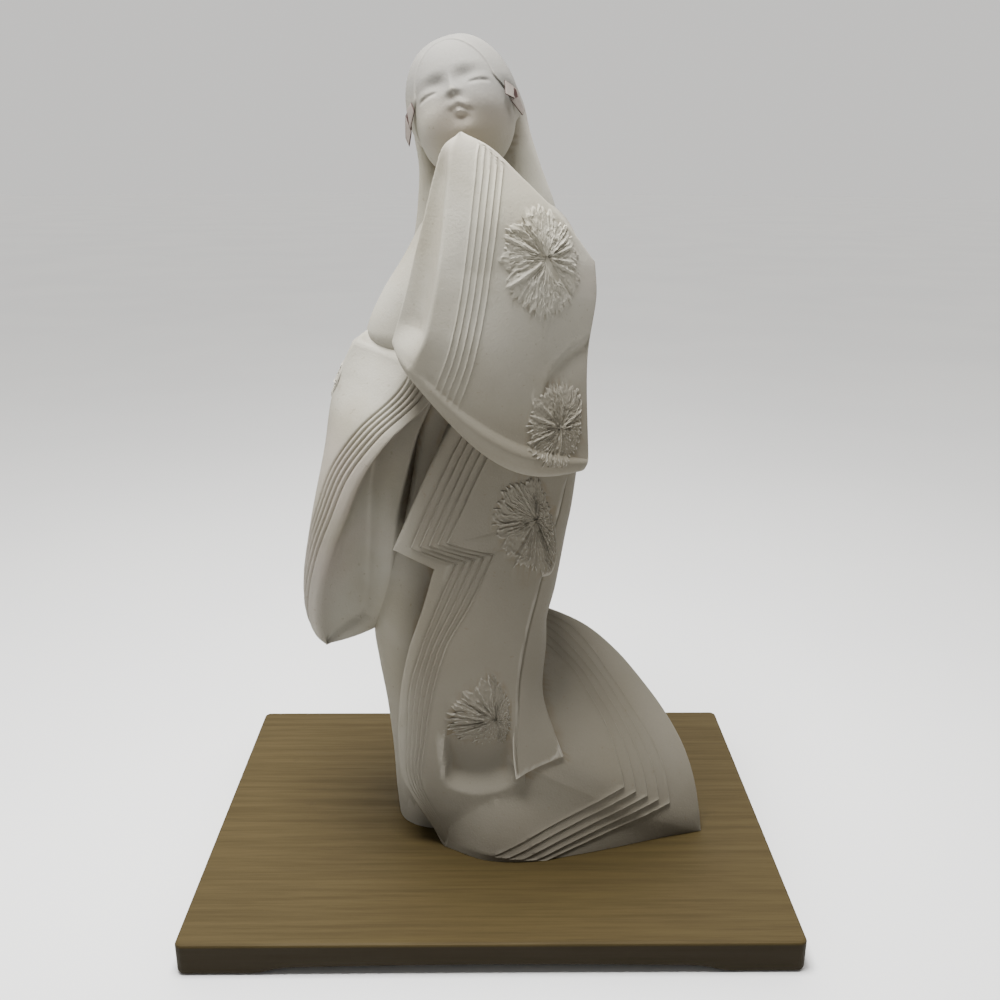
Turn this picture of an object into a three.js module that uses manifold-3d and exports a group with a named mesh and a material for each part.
// A clay figure in a long-sleeved kimono, standing on a wooden board.
// Millimetres, +Z up. The origin is the centre of the board's underside, and the figure faces -Y.
import * as THREE from 'three';
import { mergeVertices } from 'three/addons/utils/BufferGeometryUtils.js';
import Module from 'manifold-3d';

const wasm = await Module();
wasm.setup();

// Driving dimensions of the board
const BOARD_LENGTH = 300;
const BOARD_DEPTH = 210;
const BOARD_THICKNESS = 17;
const BOARD_CORNER_RADIUS = 4;
const BOARD_EDGE_BEVEL = 1.5;
const ARCH_RISE = 5.4;
const ARCH_FOOT = 29;
const ARCH_SHOULDER = 28;

// Driving dimensions of the figure: its forms are drawn at the drawn height and scaled to the real one
const FIGURE_HEIGHT = 401;
const DRAWN_HEIGHT = 401;
const FIGURE_SCALE = FIGURE_HEIGHT / DRAWN_HEIGHT;
const REST_GAP = 0.3;

// Carved lines on the cloth, at the drawn height
const LINE_COUNT = 5;
const CORD_START = 12.5;
const CORD_PITCH = 3;
const CORD_HEIGHT = 0.7;
const REED_START = 6;
const REED_PITCH = 2.8;
const REED_DEPTH = 0.8;
const PANEL_STEP = 0.55;
const TERRACE_STEP = 0.8;
const STEP_WIDTH = 0.8;
const LAST_MARGIN = 1.6;
const LINE_SQUEEZE = 0.95;

// Carved flowers, at the drawn height
const FLOWER_HEIGHT = 1;
const FLOWER_SPOKES = 12;
const FLOWER_ROOT = 1.5;

const point = (x, y, z) => new THREE.Vector3(x, y, z);

// Even steps from a first to a last value, both included
function steps(first, last, count) {
  return Array.from({ length: count + 1 }, (_, i) => first + ((last - first) * i) / count);
}

// A rail is a smooth curve with one point for each station, and it may turn sharply at a few stations
function makeRail(points, corners = []) {
  const stations = points.map((p) => point(...p));
  const ends = [0, ...corners, stations.length - 1];
  const spans = ends.slice(1).map((end, i) => ({
    start: ends[i],
    end,
    curve: new THREE.CatmullRomCurve3(stations.slice(ends[i], end + 1), false, 'centripetal'),
  }));
  return (t) => {
    const span = spans.find((s) => t <= s.end) ?? spans.at(-1);
    return span.curve.getPoint((t - span.start) / (span.end - span.start));
  };
}

// A number that changes smoothly from station to station, and may turn sharply at a few of them
function makeTrack(values, corners = []) {
  const rail = makeRail(values.map((value, i) => [value, 0, i]), corners);
  return (t) => rail(t).x;
}

// Turns a closed geometry into a solid that can be joined and cut, with its faces pointing out
function toSolid(geometry) {
  geometry.deleteAttribute('normal');
  geometry.deleteAttribute('uv');
  const merged = mergeVertices(geometry, 1e-5);
  const indices = Array.from(merged.index.array);
  const at = (i) => point(0, 0, 0).fromBufferAttribute(merged.attributes.position, i);
  const triangles = [];
  let volume = 0;
  for (let i = 0; i < indices.length; i += 3) {
    const [a, b, c] = indices.slice(i, i + 3);
    if (a !== b && b !== c && c !== a) {
      triangles.push([a, b, c]);
      volume += at(a).dot(at(b).cross(at(c)));
    }
  }
  const outward = volume > 0 ? triangles : triangles.map(([a, b, c]) => [a, c, b]);
  const mesh = new wasm.Mesh({
    numProp: 3,
    vertProperties: new Float32Array(merged.attributes.position.array),
    triVerts: new Uint32Array(outward.flat()),
  });
  mesh.merge();
  return new wasm.Manifold(mesh);
}

function toGeometry(solid) {
  const mesh = solid.getMesh();
  const geometry = new THREE.BufferGeometry();
  geometry.setAttribute('position', new THREE.Float32BufferAttribute(mesh.vertProperties, 3));
  geometry.setIndex(Array.from(mesh.triVerts));
  geometry.computeVertexNormals();
  return geometry;
}

// Closes a grid of points, whose rows are rings, with a fan at each end
function closedSolid(rings) {
  const columns = rings[0].length;
  const positions = rings.flat().flatMap((p) => [p.x, p.y, p.z]);
  const triangles = [];
  for (let row = 0; row + 1 < rings.length; row += 1) {
    for (let column = 0; column < columns; column += 1) {
      const next = (column + 1) % columns;
      const a = row * columns + column;
      const b = row * columns + next;
      const c = b + columns;
      const d = a + columns;
      triangles.push(a, b, c, a, c, d);
    }
  }
  for (const row of [0, rings.length - 1]) {
    const middle = rings[row].reduce((sum, p) => sum.add(p), point(0, 0, 0)).divideScalar(columns);
    const hub = positions.length / 3;
    positions.push(middle.x, middle.y, middle.z);
    for (let column = 0; column < columns; column += 1) {
      const a = row * columns + column;
      const b = row * columns + ((column + 1) % columns);
      triangles.push(...(row === 0 ? [b, a, hub] : [a, b, hub]));
    }
  }
  const geometry = new THREE.BufferGeometry();
  geometry.setAttribute('position', new THREE.Float32BufferAttribute(positions, 3));
  geometry.setIndex(triangles);
  return toSolid(geometry);
}

// A point of a face between two rails: a straight line from rail to rail, pushed out by the bulge
function facePoint(face, t, share) {
  const p = face.from(t).lerp(face.to(t), share);
  return face.bulge ? p.addScaledVector(face.bulge(t), Math.sin(Math.PI * share)) : p;
}

// Rings of a railed form: each ring runs from rail to rail, and a face may carry relief
function railedRings({ faces, rows }) {
  const heights = [];
  const rings = rows.map((t) => {
    const ring = [];
    const raised = [];
    for (const face of faces) {
      const width = face.from(t).distanceTo(face.to(t));
      for (const share of face.cuts(t, width)) {
        const p = facePoint(face, t, share);
        ring.push(p);
        raised.push(face.relief ? face.relief(t, share * width, p) : 0);
      }
    }
    heights.push(raised);
    return ring;
  });
  return raisedRings(rings, heights);
}

// Surface normals of the rings' points, all turned outwards
function ringNormals(rings) {
  const lastRow = rings.length - 1;
  const columns = rings[0].length;
  let outward = 0;
  const normals = rings.map((ring, row) => {
    const middle = ring.reduce((sum, p) => sum.add(p), point(0, 0, 0)).divideScalar(columns);
    return ring.map((p, column) => {
      const along = rings[Math.min(row + 1, lastRow)][column].clone()
        .sub(rings[Math.max(row - 1, 0)][column]);
      const across = ring[(column + 1) % columns].clone().sub(ring[(column + columns - 1) % columns]);
      const normal = along.cross(across).normalize();
      outward += normal.dot(p.clone().sub(middle));
      return normal;
    });
  });
  return normals.map((row) => row.map((normal) => normal.multiplyScalar(Math.sign(outward))));
}

function raisedRings(rings, heights) {
  const normals = ringNormals(rings);
  return rings.map((ring, row) => ring.map((p, column) => (
    p.clone().addScaledVector(normals[row][column], heights[row][column]))));
}

// Column places as shares of the face's width: none of them reaches the next rail itself
const even = (count) => () => steps(0, 1, count).slice(0, -1);

// Columns at set distances from the first rail, then even ones up to a small margin before the next rail
function measured(distances, rest) {
  return (t, width) => {
    const near = distances(t).map((d) => Math.min(d / width, 0.9));
    const last = 1 - Math.min(LAST_MARGIN / width, 0.04);
    return [0, ...near, ...steps(near.at(-1), last, rest).slice(1)];
  };
}

// Columns on both sides of each carved step
const stepCuts = (places) => places.flatMap((place) => [place - STEP_WIDTH / 2, place + STEP_WIDTH / 2]);

// How many carved steps lie between the first rail and a distance
const stepsPassed = (places, d) => places.filter((place) => d >= place + STEP_WIDTH / 2 - 0.01).length;

// A form given by level sections: [z, left x, right x, front y, back y, hollow in the front]
function sectionedRings(sections, squareness, columns) {
  return sections.map(([z, left, right, front, back, hollow = 0]) => (
    Array.from({ length: columns }, (_, i) => {
      const angle = (2 * Math.PI * i) / columns;
      const c = Math.sign(Math.cos(angle)) * Math.abs(Math.cos(angle)) ** (2 / squareness);
      const s = Math.sign(Math.sin(angle)) * Math.abs(Math.sin(angle)) ** (2 / squareness);
      const inward = s < 0 ? hollow * Math.max(0, 1 - c ** 4) : 0;
      return point((left + right) / 2 + (c * (right - left)) / 2,
        (front + back) / 2 + (s * (back - front)) / 2 + inward, z);
    })));
}

// The robe's core: the body behind the front panel, down to the flat foot of the back column
function makeCore() {
  return closedSolid(sectionedRings([
    [0, -52, 12, -19, 30],
    [18, -53.5, 14, -19, 31],
    [36, -54.2, 18, -19, 32],
    [70, -57.2, 19, -19, 33],
    [95, -60.8, 19, -19, 33],
    [115, -62.6, 22, -20, 33],
    [150, -57, 30, -21, 33],
    [185, -46, 37, -21, 33],
    [220, -43, 40, -23, 33],
    [250, -48, 41, -26, 32],
    [270, -60, 42, -28, 31],
    [277, -58.5, 42, -28, 30],
    [292, -51, 42, -28, 28],
    [305, -42.5, 36, -26, 26],
    [318, -35, 26, -22, 24],
    [334, -26, 6, -15, 20],
    [350, -24, 2, -13, 14],
  ], 2.6, 20));
}

// Long hair: from the crown down over the shoulders, then flat along the back
function makeHair() {
  return closedSolid(sectionedRings([
    [168, -10, 8, 20, 34],
    [172, -14, 13, 20, 38],
    [200, -24, 24, 18, 41],
    [240, -30, 31, 12, 41],
    [275, -35, 35, 6, 39],
    [300, -40, 36, 0, 36],
    [316, -37, 33, -6, 33],
    [330, -35, 29.8, -9, 31, 6],
    [347, -34, 23, -11, 29, 10],
    [361, -36, 18, -12, 28, 10],
    [374, -37, 14.6, -10, 27],
    [383, -36, 10.4, -9, 24],
    [389, -34.6, 6.6, -8, 21],
    [394, -31.6, 2.6, -7, 17],
    [397.5, -27.5, -1.5, -6, 12],
    [400.5, -21, -7, -4, 5],
  ], 2.2, 22));
}

// The head is an egg whose pole is the middle of the face; side, top and front are its own directions
const HEAD = {
  centre: point(-12.5, -8, 371.5),
  front: point(-0.165, -0.95, 0.26).normalize(),
  halfSide: 22.6,
  halfTop: 28.6,
  halfFront: 27.5,
};
HEAD.side = point(-0.284, 0.2, 0.94).cross(HEAD.front).normalize();
HEAD.top = HEAD.front.clone().cross(HEAD.side).normalize();
const CAP_EDGE = 0.55;
const CAP_GROWTH = 1.6;
const FACE_ANGLE = 0.85;
const JAW = 3.2;

// The hairline's angle from the face's middle: it is wider at the crown and opens below the temples
function hairlineAngle(turn) {
  const fromTop = Math.abs(Math.atan2(Math.cos(turn), Math.sin(turn)));
  const crown = 0.16 * Math.exp(-((fromTop / 0.5) ** 2));
  return FACE_ANGLE + crown + 0.75 * THREE.MathUtils.smoothstep(fromTop, 1.4, 2.1);
}

// A smooth bump of unit height: side and top are its centre on the face, and the widths its radii
function bump(p, side, top, width, height) {
  return Math.exp(-(((p.side - side) / width) ** 2) - ((p.top - top) / height) ** 2);
}

// Relief of the calm, closed-eyed face, in millimetres out from the egg
function faceRelief(p) {
  const mirrored = { side: Math.abs(p.side), top: p.top };
  return 1.9 * bump(p, 0, -2.6, 2.4, 2.6)
    + 1.1 * bump(p, 0, 1.5, 2, 5)
    - 1.1 * bump(mirrored, 8.5, 3.5, 6, 4)
    + 0.5 * bump(mirrored, 11, -0.5, 5, 2)
    + 0.9 * bump(p, 0, -7, 4.5, 1.3)
    + 0.9 * bump(p, 0, -9.8, 3, 1.2)
    - 0.8 * bump(p, 0, -12.2, 4, 1.6)
    + 1.5 * bump(p, 0, -17, 6, 4)
    + 0.9 * bump(mirrored, 13, -9, 7, 7);
}

function makeHead() {
  const columns = 32;
  const faceRows = [0.05, 0.13, 0.21, 0.29, 0.37, 0.46, 0.56, 0.68, 0.82, 1];
  const hairRows = [0.02, 0.16, 0.36, 0.6, 0.85];
  const ring = (angleOf, raise) => Array.from({ length: columns }, (_, i) => {
    const turn = (2 * Math.PI * i) / columns;
    const angle = angleOf(turn);
    const side = Math.sin(angle) * Math.cos(turn);
    const top = Math.sin(angle) * Math.sin(turn);
    const p = { side: HEAD.halfSide * side, top: HEAD.halfTop * top };
    const jaw = JAW * Math.exp(-(((side + 0.68) / 0.34) ** 2) - ((top + 0.6) / 0.36) ** 2);
    const out = raise(turn, p, angle) + jaw;
    return HEAD.centre.clone()
      .addScaledVector(HEAD.side, side * (HEAD.halfSide + out))
      .addScaledVector(HEAD.top, top * (HEAD.halfTop + out))
      .addScaledVector(HEAD.front, Math.cos(angle) * (HEAD.halfFront + out));
  });
  const capRaise = (turn, _, angle) => {
    const start = hairlineAngle(turn);
    const growth = CAP_GROWTH * THREE.MathUtils.smoothstep(angle - start, 0.03, 0.45);
    return (CAP_EDGE + growth) * (1 - THREE.MathUtils.smoothstep(start, 1.3, 1.6));
  };
  return closedSolid([
    ...faceRows.map((share) => ring((turn) => share * hairlineAngle(turn), (_, p) => faceRelief(p))),
    ...hairRows.map((share) => ring((turn) => {
      const start = hairlineAngle(turn);
      return start + share * (Math.PI - start);
    }, capRaise)),
  ]);
}

// The raised sleeve hangs like a shield from the forearm: its rails run from the hand at the chin
// down to the crease above the rolled hem, and then round the hem
function describeRaisedSleeve() {
  const edge = makeRail([
    [-14, -48, 359.5], [-20.5, -46, 355], [-25, -44, 343], [-29.5, -43, 326], [-34, -42, 310],
    [-38, -42, 295], [-42, -42, 282], [-44.7, -42, 273], [-40.5, -50, 265], [-38, -51, 262],
    [-26, -30, 262]], [7]);
  const ridge = makeRail([
    [-13.5, -52, 360], [-17, -54, 354], [-18.5, -56.5, 340], [-20.5, -59.5, 322], [-22.5, -62, 307],
    [-25, -63, 293], [-28.7, -63, 278], [-34, -59, 265.5], [-36.5, -57, 263], [-37.5, -52, 260.8],
    [-25, -30, 262]], [7]);
  const elbow = makeRail([
    [-12.5, -50, 360.3], [-1, -47, 355], [12, -43, 343.5], [31, -35.5, 325.5], [46.5, -26, 306.5],
    [47.5, -28, 292], [43.8, -34, 265], [45, -41, 219], [44.5, -42.5, 217], [42.6, -42, 213.7],
    [38, -25, 216]], [4, 7]);
  const backRight = makeRail([
    [-12, -44, 358], [0, -38, 350], [13, -30, 338], [30, -18, 320], [42, -6, 302], [42, -6, 290],
    [38, -14, 262], [38, -22, 222], [38, -22, 220], [38, -22, 218], [36, -20, 218]], [4]);
  const backLeft = makeRail([
    [-15, -44, 357], [-17, -38, 350], [-19, -30, 338], [-22, -22, 320], [-25, -20, 305], [-28, -20, 292],
    [-31, -20, 278], [-34, -22, 268], [-34, -24, 264], [-33, -26, 263], [-25, -26, 263]], [7]);
  const bulge = makeRail([
    [0, 0, 0], [0, -3, 0], [0, -7, 0], [0, -12, 0], [0, -14, -1], [0, -14, -2], [-1, -14, -3.5],
    [-1.5, -13.5, -5.5], [0, -16, -10], [1.3, -8, -17.5], [0, -6, -12]]);
  const channel = makeTrack([0, 1, 2.6, 3.6, 4.4, 5.2, 5.6, 0, 0, 0, 0], [6]);
  const fade = makeTrack([0, 0.8, 1, 1, 1, 1, 1, 0.3, 0, 0, 0]);
  const lastCord = CORD_START + (LINE_COUNT - 0.5) * CORD_PITCH;
  const cords = steps(CORD_START - CORD_PITCH / 2, lastCord, 2 * LINE_COUNT);
  const front = {
    from: ridge,
    to: elbow,
    lastRow: 7,
    cuts: measured(() => cords, 4),
    bulge,
    relief: (t, d) => {
      const place = (d - CORD_START) / CORD_PITCH;
      const onCord = place > -0.5 && place < LINE_COUNT - 0.5;
      return onCord ? fade(t) * CORD_HEIGHT * Math.cos(Math.PI * place) ** 2 : 0;
    },
  };
  return {
    rows: [0, 0.5, 1, 1.5, 2, 2.5, 3, 3.5, 4, 4.5, 5, 5.5, 6, 6.5, 7, 7.4, 8, 8.5, 9, 10],
    front,
    faces: [
      { from: edge, to: ridge, cuts: even(3), bulge: (t) => point(0.7 * channel(t), channel(t), 0) },
      front,
      { from: elbow, to: backRight, cuts: even(2) },
      { from: backRight, to: backLeft, cuts: even(2) },
      { from: backLeft, to: edge, cuts: even(2) },
    ],
  };
}

// The hanging sleeve is a deep shell, open towards the front: the rim is its free front edge
function describeHangingSleeve() {
  const rim = makeRail([
    [-20, -34, 264], [-22, -42, 257], [-28, -41, 245], [-46.5, -42, 227.5], [-62, -39, 207.5],
    [-73, -36, 183.5], [-81, -32, 165], [-87, -26, 144], [-89.3, -22, 128], [-88.8, -15, 114],
    [-86, -12.3, 109.3]], [1]);
  const outer = makeRail([
    [-58, -8, 274], [-66.5, -9, 268], [-72.5, -8, 255], [-78, -8, 239], [-81.8, -8, 218], [-86, -8, 198],
    [-90.3, -8, 177], [-94.6, -8, 154], [-95.2, -8, 134], [-91.5, -9, 116], [-86.2, -11.8, 109.3]], [1]);
  const back = makeRail([
    [-50, 18, 276], [-57, 20, 268], [-61, 21, 255], [-64, 22, 239], [-66, 22, 218], [-68, 22, 198],
    [-71, 20, 177], [-74, 17, 154], [-75, 13, 134], [-74, 9, 118], [-72, 4, 111]], [1]);
  const inside = makeRail([
    [-30, 10, 276], [-30, 10, 268], [-30, 10, 255], [-30, 10, 239], [-30, 10, 218], [-30, 10, 198],
    [-34, 8, 177], [-38, 8, 154], [-42, 6, 134], [-50, 6, 121], [-56, 4, 116]], [1]);
  const lap = makeRail([
    [-18, -24, 266], [-20, -27, 258], [-26, -26, 245], [-35, -23, 225], [-41, -20, 205], [-45.5, -16, 187],
    [-49, -14, 168], [-51, -12, 150], [-53, -10, 134], [-58, -6, 121], [-62, -3, 114.5]], [1]);
  const crease = makeRail([
    [-19, -28, 265], [-22, -30, 258], [-32, -22, 247], [-48, -14, 232], [-57, -10, 213], [-61, -8, 192],
    [-62.5, -6, 172], [-64, -5, 150], [-65.5, -4.5, 134], [-67.5, -5, 124], [-84.5, -12, 110.2]], [1, 9]);
  const lining = makeRail([
    [-20, -31, 264], [-23, -38.5, 257], [-29, -37.5, 246], [-46, -38, 229], [-60, -35.5, 208.5],
    [-70.5, -32.5, 184], [-78.5, -29, 165], [-84.5, -23.5, 144.5], [-87, -20, 128.5], [-87, -14.5, 115],
    [-85.4, -12.3, 110.1]], [1]);
  const outward = makeTrack([0, 0, 3, 5, 6, 6, 5, 4, 3, 1, 0]);
  const reeds = steps(REED_START, REED_START + LINE_COUNT * REED_PITCH, 2 * LINE_COUNT);
  const front = {
    from: rim,
    to: outer,
    cuts: measured(() => reeds, 2),
    bulge: (t) => point(-0.8 * outward(t), -outward(t), 0),
    relief: (t, d) => {
      const place = (d - REED_START) / REED_PITCH;
      const onReed = place > -0.01 && place < LINE_COUNT + 0.01 && t > 1 && t < 9;
      return onReed ? -REED_DEPTH * Math.cos(Math.PI * place) ** 2 : 0;
    },
  };
  const side = { from: outer, to: back, lastRow: 10, cuts: even(3), bulge: (t) => point(-outward(t), 0, 0) };
  return {
    rows: [0, 1, ...steps(1.5, 9, 15), 9.5, 10],
    side,
    faces: [
      front,
      side,
      { from: back, to: inside, cuts: even(1) },
      { from: inside, to: lap, cuts: even(1) },
      { from: lap, to: crease, cuts: even(3), bulge: () => point(0.5, -1.5, 0) },
      { from: crease, to: lining, cuts: even(3), bulge: () => point(-2.5, 1.5, 0) },
      { from: lining, to: rim, cuts: even(1) },
    ],
  };
}

// The hollow in the panel above the hem: it deepens downwards and ends in a ledge like a smile
const SCOOP = { x: -6.5, z: 46.5, halfWidth: 17.5, smile: 5, depth: 8.5, reach: 22, ledge: 11 };

function scoopDepth(p) {
  const across = (p.x - SCOOP.x) / SCOOP.halfWidth;
  const up = p.z - SCOOP.z - SCOOP.smile * across * across;
  const side = Math.max(0, 1 - across ** 8);
  const fall = Math.exp(-((Math.max(0, up) / SCOOP.reach) ** 2));
  return SCOOP.depth * side * fall * THREE.MathUtils.smoothstep(up, -SCOOP.ledge, 0);
}

// The front panel: its free left edge steps out to a corner at the knee and back again
function describePanel() {
  const corners = [2, 3];
  const edge = makeRail([
    [-8, -36, 252], [-25, -35, 222], [-48.7, -32, 170], [-28.4, -34.8, 160.7], [-34.3, -34.5, 140],
    [-41.9, -34, 117], [-46.6, -32.5, 94], [-49.2, -31, 64], [-48, -31, 42], [-41, -32.5, 27],
    [-32.5, -32, 12], [-27, -32, 0]], corners);
  const groove = makeRail([
    [42, -26, 245], [38, -26, 222], [31, -27.5, 188], [28, -29, 178], [21.5, -31, 148], [17, -32, 128],
    [13, -33, 100], [14, -35, 68], [17, -36.5, 50], [18, -37, 35], [18, -37.5, 18], [18, -38, 0]], corners);
  const backRight = makeRail([
    [30, -10, 245], [28, -10, 222], [22, -10, 188], [20, -10, 178], [15, -10, 148], [12, -12, 128],
    [9, -12, 100], [12, -12, 68], [14, -12, 50], [14, -12, 35], [14, -12, 18], [14, -12, 0]], corners);
  const backLeft = makeRail([
    [-14, -12, 252], [-24, -12, 222], [-40, -12, 172], [-26, -14, 162.7], [-31, -14, 140], [-38, -14, 117],
    [-42, -14, 94], [-43, -12, 64], [-42, -12, 42], [-37, -12, 27], [-30, -12, 12], [-25, -12, 0]], corners);
  const bulge = makeTrack([-4.5, -5, -5.5, -2.7, -2.8, -3, -3, -3, -3, -3, -4, -5]);
  const firstLine = makeTrack([8, 8, 10, 11.8, 7.8, 7.1, 5.3, 6, 4.3, 3.6, 3, 3], corners);
  const lastLine = makeTrack([24.5, 24.5, 28.3, 30.3, 23.8, 19.4, 17.2, 15.2, 11.8, 9, 8, 8], corners);
  const fade = makeTrack([1, 1, 1, 1, 1, 1, 1, 1, 0.8, 0.3, 0, 0]);
  const lines = (t) => steps(firstLine(t), lastLine(t), LINE_COUNT - 1);
  const front = {
    from: edge,
    to: groove,
    lastRow: 11,
    cuts: measured((t) => stepCuts(lines(t)), 5),
    bulge: (t) => point(0, bulge(t), 0),
    relief: (t, d, p) => fade(t) * PANEL_STEP * stepsPassed(lines(t), d) - scoopDepth(p),
  };
  return {
    rows: [0, ...steps(1, 6, 7), ...steps(6.6, 9, 12), 9.5, 10, 10.5, 11],
    front,
    faces: [
      front,
      { from: groove, to: backRight, cuts: even(1) },
      { from: backRight, to: backLeft, cuts: even(1) },
      { from: backLeft, to: edge, cuts: even(2) },
    ],
  };
}

// The band beside the panel: the robe's right side, which ends in a free flap over the train
function describeBand() {
  const groove = makeRail([
    [40, -25, 245], [37, -26, 222], [31, -29, 188], [28, -30.5, 178], [21.5, -32.5, 148], [17, -34, 128],
    [12.8, -35.5, 104], [11, -37.5, 82], [10.5, -40, 62], [12, -43, 47.5], [13, -35, 44]], [9]);
  const silhouette = makeRail([
    [42, -4, 240], [41, 0, 220], [38.8, 1, 186], [37, 1, 172], [32.5, 0, 140], [29.3, -2, 125],
    [29, -10, 111], [27, -25, 88], [33, -33, 70], [38, -37, 57.9], [36, -31, 54]], [9]);
  const back = makeRail([
    [35, 20, 240], [34, 22, 220], [30, 22, 186], [28, 22, 172], [24, 20, 140], [20, 18, 125],
    [18, 10, 111], [16, -5, 88], [18, -16, 70], [18, -20, 57.7], [18, -20, 54]], [9]);
  const bulge = makeTrack([4, 4, 4, 4, 4, 3.5, 3, 1.5, 0, -1, 0]);
  const side = { from: silhouette, to: back, lastRow: 10, cuts: even(3), bulge: () => point(1.5, 2, 0) };
  return {
    rows: [0, 1, 2, 3, 3.5, 4, 5, 5.5, 6, 6.5, 7, 7.5, 8, 8.5, 9, 10],
    side,
    faces: [
      { from: groove, to: silhouette, cuts: even(5), bulge: (t) => point(bulge(t), -bulge(t), 0) },
      side,
      { from: back, to: groove, cuts: even(1) },
    ],
  };
}

// Distances of the train's carved lines from its rim. The lower lines run straight from the hem to the
// ridge: each lies in a plane through its start on the rim, its corner on the ridge ring and a slanting
// direction. The share of a ring in that plane is solved with the bulge of the round before.
function trainLines(rim, hub, bulge) {
  const ridge = 7;
  const slant = point(0.05, 0.94, -0.34);
  const firstLine = makeTrack([21.3, 20, 22, 22.5, 21, 16, 10.5, 6, 4]);
  const lastLine = makeTrack([52.5, 51, 50.5, 49, 46, 43, 38, 29, 24]);
  const curved = (t) => steps(firstLine(t - ridge), lastLine(t - ridge), LINE_COUNT - 1);
  const width = (t) => rim(t).distanceTo(hub(t));
  const plain = { from: rim, to: hub, bulge: (t) => point(0, bulge(t), 0) };
  const starts = steps(2.1, 0.9, LINE_COUNT - 1).map((t) => rim(t));
  const normals = curved(ridge).map((d, i) => (
    facePoint(plain, ridge, d / width(ridge)).sub(starts[i]).cross(slant)));
  const straight = (t) => normals.map((normal, i) => {
    const toHub = hub(t).sub(rim(t)).dot(normal);
    const offset = rim(t).sub(starts[i]).dot(normal);
    let share = 0;
    for (let round = 0; round < 4; round += 1) {
      const push = bulge(t) * normal.y * Math.sin(Math.PI * share);
      share = THREE.MathUtils.clamp(-(offset + push) / toHub, 0, 1);
    }
    return Math.max(share * width(t), LINE_SQUEEZE * (i + 0.6));
  });
  return (t) => (t <= ridge ? straight(t) : curved(t));
}

// The train is a fan about an upright line inside the robe: its rim runs along the hem on the board,
// turns at the tip and climbs along the arched upper edge
function describeTrain() {
  const tip = 6;
  const rim = makeRail([
    [-26, -33.3, 0], [-3, -45, 0], [25.6, -45.6, 0], [47, -41, 0], [69, -34.8, 0], [92, -27.6, 0],
    [116, -21.4, 0.5], [114.8, -19.3, 10.5], [111, -13.2, 31], [105.5, -6, 46.5], [96, 3, 62],
    [85.5, 10, 75], [70, 18, 91.5], [53, 23, 104.5], [33, 25, 113.5], [20, 25, 117]], [tip]);
  const foot = makeRail([
    [-23, -29, 0], [-1, -40.5, 0], [25, -41.5, 0], [46, -37, 0], [68, -31, 0], [90, -24, 0], [114, -19.5, 0],
    [113, -14, 0], [111, -7, 0], [106, 2, 0], [98, 12, 0], [88, 21, 0], [72, 31, 0], [54, 37, 0],
    [34, 40, 0], [20, 38, 0]], [tip]);
  const hub = makeRail([
    [-18, -37.8, 30], [-1, -37, 34], [9, -34.8, 35], [13.5, -34.2, 36], [15, -34.2, 39], [15.5, -34.4, 45],
    [15.5, -34.4, 53], [15.5, -31, 64], [16, -26, 72], [17, -19, 81], [17, -15, 88], [16, -10, 95],
    [14, -6, 101], [12, 0, 106], [10, 6, 109], [8, 12, 111]], [tip]);
  const floor = () => point(12, 2, 0);
  const bulge = makeTrack([-0.5, -1, -1.5, -2, -3, -4, -5, -5, -4, -3, -1, 1, 2, 2, 1, 0]);
  const lines = trainLines(rim, hub, bulge);
  const front = {
    from: rim,
    to: hub,
    cuts: measured((t) => stepCuts(lines(t)), 3),
    bulge: (t) => point(0, bulge(t), 0),
    relief: (t, d) => TERRACE_STEP * THREE.MathUtils.smoothstep(t, 0, 2) * stepsPassed(lines(t), d),
  };
  return {
    rows: [0, 1, ...steps(1.5, 13, 23), 14, 15],
    faces: [
      front,
      { from: hub, to: floor, cuts: even(1) },
      { from: floor, to: foot, cuts: even(1) },
      { from: foot, to: rim, cuts: even(1) },
    ],
  };
}

// A face's point with its directions for a whole row and for the whole width
function faceFrame(face, t, share) {
  const small = 0.01;
  const p = facePoint(face, t, share);
  const perRow = facePoint(face, t + small, share).sub(p).divideScalar(small);
  const perShare = facePoint(face, t, share + small).sub(p).divideScalar(small);
  return { p, perRow, perShare };
}

// The place on a face that lies straight over a point of a flat plane with the directions u and v
function drapedPlace(face, start, u, v, target) {
  let [t, share] = start;
  for (let pass = 0; pass < 24; pass += 1) {
    const { p, perRow, perShare } = faceFrame(face, t, share);
    const gap = target.clone().sub(p);
    const [rowU, rowV] = [perRow.dot(u), perRow.dot(v)];
    const [shareU, shareV] = [perShare.dot(u), perShare.dot(v)];
    const area = rowU * shareV - rowV * shareU;
    const rowChange = (gap.dot(u) * shareV - gap.dot(v) * shareU) / area;
    const shareChange = (gap.dot(v) * rowU - gap.dot(u) * rowV) / area;
    t = THREE.MathUtils.clamp(t + THREE.MathUtils.clamp(rowChange, -0.4, 0.4), 0, face.lastRow);
    share += THREE.MathUtils.clamp(shareChange, -0.1, 0.1);
  }
  return [t, share];
}

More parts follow.
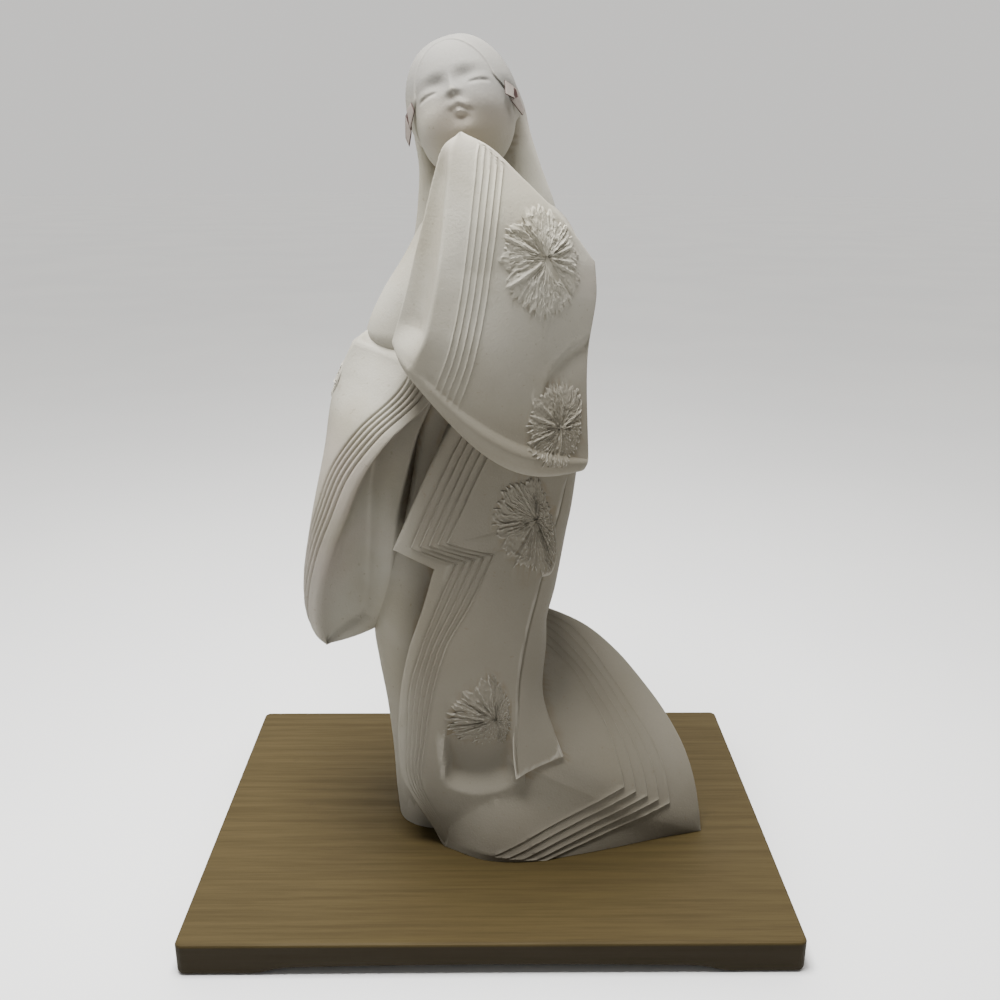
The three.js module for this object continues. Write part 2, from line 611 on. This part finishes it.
// A carved flower draped on a face: radial ridges about a centre given by its row and its share of
// the face's width. It reaches left, right, up and down by set lengths, facing roughly along toward,
// and lift is the relief under it.
function makeFlower(face, { row, share, reach: [left, right, up, down], toward = [0, -1, 0], lift = 0 }) {
  const { p: centre, perRow, perShare } = faceFrame(face, row, share);
  const normal = perRow.cross(perShare).normalize();
  normal.multiplyScalar(Math.sign(normal.dot(point(...toward))));
  const u = perShare.normalize();
  const v = normal.clone().cross(u);
  const columns = 2 * FLOWER_SPOKES;
  const ring = (radius, heightOf) => Array.from({ length: columns }, (_, i) => {
    const angle = (2 * Math.PI * i) / columns;
    const [c, s] = [Math.cos(angle), Math.sin(angle)];
    const ragged = radius * (i % 2 === 0 ? 1 : 0.88);
    const target = centre.clone()
      .addScaledVector(u, c * ragged * (c > 0 ? right : left))
      .addScaledVector(v, s * ragged * (s > 0 ? up : down));
    const place = drapedPlace(face, [row, share], u, v, target);
    return facePoint(face, ...place).addScaledVector(normal, lift + heightOf(i));
  });
  const ridge = (i) => FLOWER_HEIGHT * (i % 2 === 0 ? 1 : 0.15);
  return closedSolid([
    ring(0.08, () => -FLOWER_ROOT),
    ring(0.98, () => -FLOWER_ROOT),
    ring(1, (i) => 0.4 * ridge(i)),
    ring(0.62, ridge),
    ring(0.14, (i) => 0.6 * ridge(i)),
  ]);
}

function makeFigure() {
  const raisedSleeve = describeRaisedSleeve();
  const hangingSleeve = describeHangingSleeve();
  const panel = describePanel();
  const band = describeBand();
  const lift = LINE_COUNT * PANEL_STEP;
  const railed = [raisedSleeve, hangingSleeve, panel, band, describeTrain()];
  const flowers = [
    makeFlower(raisedSleeve.front, { row: 3.7, share: 0.65, reach: [18.5, 19.5, 22, 28.5] }),
    makeFlower(raisedSleeve.front, { row: 6.72, share: 0.83, reach: [17.5, 11, 22, 12] }),
    makeFlower(panel.front, { row: 1.97, share: 0.865, reach: [20, 8, 23, 26], lift }),
    makeFlower(panel.front, { row: 6.6, share: 0.82, reach: [25, 8, 24, 15], lift }),
    makeFlower(hangingSleeve.side, { row: 2.45, share: 0.3, reach: [9, 11, 10, 12], toward: [-1, 0.2, 0] }),
    makeFlower(band.side, { row: 3.8, share: 0.5, reach: [11, 10, 11, 11], toward: [1, 0.2, 0] }),
  ];
  const parts = [makeHair(), makeHead(), ...railed.map((form) => closedSolid(railedRings(form))), ...flowers];
  const joined = parts.reduce((sum, part) => sum.add(part), makeCore());
  const geometry = toGeometry(joined.trimByPlane([0, 0, 1], 0));
  geometry.scale(FIGURE_SCALE, FIGURE_SCALE, FIGURE_SCALE);
  return geometry;
}

// A small ribbon folded flat and pointed at both ends: axis is its length, and out faces off the hair
function makeRibbon({ centre, axis, out, length }) {
  const along = point(...axis).normalize();
  const across = point(...out).cross(along).normalize();
  const off = along.clone().cross(across).normalize();
  const halfWidths = [0.6, 2.4, 3, 2.4, 0.6];
  const halfThick = [0.5, 0.9, 1.1, 0.9, 0.5];
  const rings = halfWidths.map((halfWidth, row) => steps(0, 7, 7).map((i) => {
    const angle = (Math.PI * i) / 4;
    return point(...centre)
      .addScaledVector(along, length * (row / (halfWidths.length - 1) - 0.5))
      .addScaledVector(across, halfWidth * Math.cos(angle))
      .addScaledVector(off, halfThick[row] * Math.sin(angle));
  }));
  const geometry = toGeometry(closedSolid(rings));
  geometry.scale(FIGURE_SCALE, FIGURE_SCALE, FIGURE_SCALE);
  return geometry;
}

function roundedOutline(length, depth, radius) {
  const x = length / 2 - radius;
  const y = depth / 2 - radius;
  const shape = new THREE.Shape();
  shape.absarc(x, -y, radius, -Math.PI / 2, 0, false);
  shape.absarc(x, y, radius, 0, Math.PI / 2, false);
  shape.absarc(-x, y, radius, Math.PI / 2, Math.PI, false);
  shape.absarc(-x, -y, radius, Math.PI, 1.5 * Math.PI, false);
  return shape;
}

// The board: a bevelled slab with one shallow arch, with ogee shoulders, cut through under its long sides
function makeBoard() {
  const inset = BOARD_EDGE_BEVEL;
  const slab = new THREE.ExtrudeGeometry(
    roundedOutline(BOARD_LENGTH - 2 * inset, BOARD_DEPTH - 2 * inset, BOARD_CORNER_RADIUS - inset),
    {
      depth: BOARD_THICKNESS - 2 * inset,
      bevelThickness: inset,
      bevelSize: inset,
      bevelSegments: 2,
      curveSegments: 3,
    },
  );
  slab.translate(0, 0, inset);
  const foot = BOARD_LENGTH / 2 - ARCH_FOOT;
  const crown = foot - ARCH_SHOULDER;
  const middle = foot - ARCH_SHOULDER / 2;
  const shoulderRise = 0.8 * ARCH_RISE;
  const peak = 2 * ARCH_RISE - shoulderRise;
  const arch = new THREE.Shape();
  arch.moveTo(-foot, -1);
  arch.lineTo(foot, -1);
  arch.lineTo(foot, 0);
  arch.bezierCurveTo(middle, 0, middle, shoulderRise, crown, shoulderRise);
  arch.quadraticCurveTo(0, peak, -crown, shoulderRise);
  arch.bezierCurveTo(-middle, shoulderRise, -middle, 0, -foot, 0);
  const cutter = new THREE.ExtrudeGeometry(arch, {
    depth: BOARD_DEPTH + 2,
    bevelEnabled: false,
    curveSegments: 6,
  });
  cutter.rotateX(Math.PI / 2);
  cutter.translate(0, BOARD_DEPTH / 2 + 1, 0);
  return toGeometry(toSolid(slab).subtract(toSolid(cutter)));
}

const clay = new THREE.MeshStandardMaterial({ color: 0xc9c6bc, roughness: 0.9, metalness: 0 });
const wood = new THREE.MeshStandardMaterial({ color: 0x7a6e4a, roughness: 0.6, metalness: 0 });
const paper = new THREE.MeshStandardMaterial({ color: 0xcdbfb4, roughness: 0.8, metalness: 0 });

const object = new THREE.Group();

function addPiece(name, geometry, material, height) {
  const mesh = new THREE.Mesh(geometry, material);
  mesh.name = name;
  mesh.position.z = height;
  object.add(mesh);
}

const FIGURE_FOOT = BOARD_THICKNESS + REST_GAP;
addPiece('board', makeBoard(), wood, 0);
addPiece('figure', makeFigure(), clay, FIGURE_FOOT);
addPiece('hair_ribbon_right', makeRibbon({
  centre: [10, -21, 374.6], axis: [0.46, 0.3, -0.86], out: [0.62, -0.75, 0.2], length: 15.5,
}), paper, FIGURE_FOOT);
addPiece('hair_ribbon_left', makeRibbon({
  centre: [-36.6, -19.7, 364.1], axis: [-0.03, 0.1, -1], out: [-0.5, -0.85, 0.05], length: 18,
}), paper, FIGURE_FOOT);

export default object;
